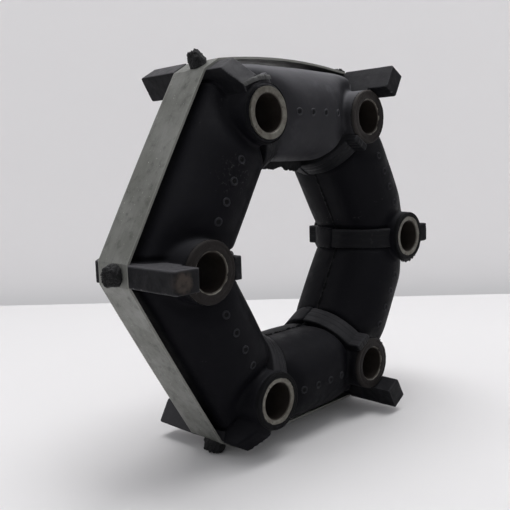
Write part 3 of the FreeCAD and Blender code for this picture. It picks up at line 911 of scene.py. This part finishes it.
def bush_film(number, end, bare, material):
    """A skin of rubber over the end of a bush, from its collar in to a bare radius."""
    out, side = spoke_directions(number)
    narrow = (FILM_OUTER - bare) / (FILM_OUTER - FILM_INNER)
    points = []
    for angle in ring_angles(FILM_SEGMENTS):
        radial = out * cos(angle) + side * sin(angle)
        for radius, height in FILM_PROFILE:
            spot = Vector((radius * cos(angle), radius * sin(angle), number * FILMS_APART))
            uneven = noise.fractal(spot * FILM_NOISE_SCALE, *FILM_NOISE)
            share = (FILM_OUTER - radius) / (FILM_OUTER - FILM_INNER)
            ring = FILM_OUTER + (radius - FILM_OUTER) * narrow + FILM_RING_NOISE * uneven * share
            level = min(height + FILM_LEVEL_NOISE * uneven, BUSH_END + FILM_STAND_OUT)
            points.append(out * BOLT_RADIUS + radial * ring + SHAFT * end * level)
    faces = grid_faces(FILM_SEGMENTS, len(FILM_PROFILE), closed=True)
    if end == 1:
        faces = [face[::-1] for face in faces]
    new_piece(f"bush_film_{END_NAMES[end]}_{number}", points, faces, material)


PIP_SEGMENTS = 24
# Where the marks lie along each arm, from one bush to the next, and how far out from its middle line
PIP_SHARES = (0.29, 0.43, 0.56, 0.69)
PIP_OUTWARD = 1.0
# On one arm the marks lie further out and further along.
SHIFTED_ARM = 2
SHIFTED_PIPS = (1.5, 2.0)
# Sections of a mark: radius and height over the rubber
PIP_RIM = ((1.5, -0.3), (1.45, 0.1), (1.25, 0.32), (1.05, 0.32), (0.85, 0.12), (0.8, -0.2))
PIP_HOLLOW = ((1.0, 0.04), (0.6, 0.02), (0.05, 0.02))
# Where a mark starts on its way down to the rubber, how far it may move a round, and the rounds
PIP_START = 0.5
PIP_MOVE = 2.0
PIP_ROUNDS = 8


def mould_pips(name, profile, material):
    """Small round marks of the mould along the arms, on both faces."""
    points, faces = [], []
    half_side = BOLT_RADIUS / 2
    for arm, share, end in product(range(BUSHES), PIP_SHARES, END_NAMES):
        out, along = arm_directions(arm)
        outer, further = SHIFTED_PIPS if arm == SHIFTED_ARM else (0, 0)
        run = half_side * (2 * share - 1) + further
        above = SHAFT * end * (ARM_HALF_DEPTH + PIP_START)
        spot = out * (ARM_APOTHEM + PIP_OUTWARD + outer) + along * run + above
        spot = settle(rubber_field, spot[None, :], PIP_MOVE, PIP_ROUNDS)
        normal = slope_of(rubber_field, spot)[0]
        normal /= np.linalg.norm(normal)
        across = np.cross(normal, along)
        across /= np.linalg.norm(across)
        rings = grid_faces(PIP_SEGMENTS, len(profile), closed=True, start=len(points))
        faces += [(first, fourth, third, second) for first, second, third, fourth in rings]
        for turn in ring_angles(PIP_SEGMENTS):
            radial = across * cos(turn) + np.cross(normal, across) * sin(turn)
            points += [spot[0] + radial * radius + normal * height for radius, height in profile]
    new_piece(name, points, faces, material)


# Finishes on the solids

FILM_VOXEL = 0.3
FILM_LUMPS = 0.16
LUMP_SIZE = 5
# The level of the lumps' noise that leaves the surface where it is
LUMP_LEVEL = 0.4
FIN_FILM = 0.3


def dress(node, material):
    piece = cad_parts[node]
    piece.data.materials.clear()
    piece.data.materials.append(material)
    return piece


def film_over(node, material, thickness=0.0):
    """Softens a plate's edges and makes its rubber film uneven, standing out by its thickness."""
    piece = dress(node, material)
    remesh = piece.modifiers.new("film", "REMESH")
    remesh.mode = "VOXEL"
    remesh.voxel_size = FILM_VOXEL * MM
    remesh.use_smooth_shade = True
    soften = piece.modifiers.new("soften", "SMOOTH")
    soften.factor = 0.5
    soften.iterations = 1
    texture = bpy.data.textures.new(f"lumps_{node}", "CLOUDS")
    texture.noise_scale = LUMP_SIZE * MM
    texture.noise_depth = 2
    uneven = piece.modifiers.new("lumps", "DISPLACE")
    uneven.texture = texture
    uneven.strength = FILM_LUMPS * MM
    uneven.mid_level = LUMP_LEVEL - thickness / FILM_LUMPS


# Light, floor and backdrop

WALL_COLOUR = (0.87, 0.855, 0.86)
TABLE_COLOUR = (0.78, 0.77, 0.775)
# Where the table's far edge passes, left and right, in millimetres
TABLE_EDGE = ((45.4, 329.6), (292.8, 43.2))
TABLE_DEPTH = 2
TABLE_HALF_WIDTH = 3
# The wall stands a little behind the table, from below its top to above the view.
WALL_GAP = 0.02
WALL_FOOT = -0.3
WALL_TOP = 3
WORLD_COLOUR = (0.80, 0.81, 0.83, 1.0)
WORLD_STRENGTH = 0.64
# Each lamp's place and its power in watts; both are square and face the coupling.
LAMPS = {"overhead": ((0.25, 0.1, 0.9), 13.0), "window": ((-1.0, 0.6, 0.45), 0.7)}
LAMP_SIZE = 0.9


def stage_plane(name, corners, material):
    mesh = bpy.data.meshes.new(name)
    mesh.from_pydata(corners, [], [(0, 1, 2, 3)])
    mesh.materials.append(material)
    plane = bpy.data.objects.new(name, mesh)
    bpy.context.scene.collection.objects.link(plane)


def matt(name, colour):
    material = new_material(name)
    shader = add(material, "ShaderNodeBsdfDiffuse", {"Color": (*colour, 1.0)})
    add(material, "ShaderNodeOutputMaterial", {"Surface": shader.outputs[0]})
    return material


def add_stage():
    left, right = (Vector((*place, FLOOR)) * MM for place in TABLE_EDGE)
    sideways = (right - left).normalized()
    away = Vector((-sideways.y, sideways.x, 0))
    far = (left + right) / 2
    near = far - away * TABLE_DEPTH
    wide = sideways * TABLE_HALF_WIDTH
    table = [near - wide, near + wide, far + wide, far - wide]
    stage_plane("floor", table, matt("table", TABLE_COLOUR))
    top = Vector((0, 0, WALL_TOP))
    foot = Vector((0, 0, WALL_FOOT))
    behind = far + away * WALL_GAP
    wall = [behind - wide + foot, behind + wide + foot, behind + wide + top, behind - wide + top]
    stage_plane("backdrop", wall, matt("wall", WALL_COLOUR))


def add_lamp(name, place, power):
    data = bpy.data.lights.new(name, "AREA")
    data.shape = "SQUARE"
    data.size = LAMP_SIZE
    data.energy = power
    lamp = bpy.data.objects.new(name, data)
    lamp.location = place
    lamp.rotation_euler = (-Vector(place)).to_track_quat("-Z", "Y").to_euler()
    bpy.context.scene.collection.objects.link(lamp)


def add_light():
    world = bpy.data.worlds.new("studio")
    world.use_nodes = True
    background = world.node_tree.nodes["Background"]
    background.inputs["Color"].default_value = WORLD_COLOUR
    background.inputs["Strength"].default_value = WORLD_STRENGTH
    bpy.context.scene.world = world
    for name, (place, power) in LAMPS.items():
        add_lamp(name, place, power)


def main():
    bpy.context.scene.view_settings.view_transform = "Standard"
    add_camera()
    add_stage()
    add_light()

    rubber = rubber_material("rubber")
    torn = rubber_material("torn_rubber", dark=(0.005, 0.005, 0.0056), dust_and_lit=(0.035, 0.035, 0.038),
                           grain=0.0002)
    pitted = rubber_material("pitted_rubber", dark=(0.004, 0.004, 0.0048), dust_and_lit=(0.05, 0.05, 0.054),
                             grain=0.0012, specular=0.3, scuffs=0.7)
    # A paler rubber for the rims of the mould marks: dust and a painted highlight.
    pale = rubber_material("dusty_highlit_rubber", dark=(0.019, 0.019, 0.022), dust_and_lit=(0.12, 0.12, 0.13))
    # A paler rubber for the bevel's lip: rubbed wear and a painted highlight.
    rubbed_and_highlit = rubber_material("rubbed_highlit_rubber", dark=(0.045, 0.045, 0.045), dust_and_lit=(0.14, 0.14, 0.14),
                             grain=0.0002)
    ring_film = rubber_material("ring_film", dark=(0.017, 0.015, 0.0145), dust_and_lit=(0.09, 0.082, 0.078),
                                grain=0.0002)
    film = film_material("rubber_film")
    lug_films = {
        BARE_LUG: film_material("worn_film", bare_centre=BARE_PATCH),
        SHADED_LUG: film_material("shaded_film", top_light_and_dust=0.2),
    # Painted shade: the lug in shade gets little painted top light and dust.
    }

    rubber_ring(rubber)
    mould_pips("pip_rims", PIP_RIM, pale)
    # The marks' hollows take the darker torn rubber as painted shade.
    mould_pips("pip_hollows", PIP_HOLLOW, torn)
    part_line_lips(torn)
    collar_lips(torn)
    bevel_lip(rubbed_and_highlit)
    dress("compression_band", band_material("band_steel"))
    for number, bare in FILMED_RIMS.items():
        bush_film(number, -1, bare, torn)
    for number in range(1, BUSHES + 1):
        torn_peg(number, pitted)
        bush_film(number, -1 if number in FRONT_LUGS else 1, FILM_INNER, ring_film)
        out, side = spoke_directions(number)
        dress(f"bush_tube_{number}", bush_material(f"bush_steel_{number}", tuple(out * BOLT_RADIUS * MM)))
        film_over(f"outer_lug_{number}", lug_films.get(number, film))
        fin_film = film_material(f"fin_film_{number}", edge_wear_and_highlight=0.15, smear=0.04, top_light_and_dust=0.4,
                                 folds_across=tuple(side))
        film_over(f"inner_fin_{number}", fin_film, thickness=FIN_FILM)


main()
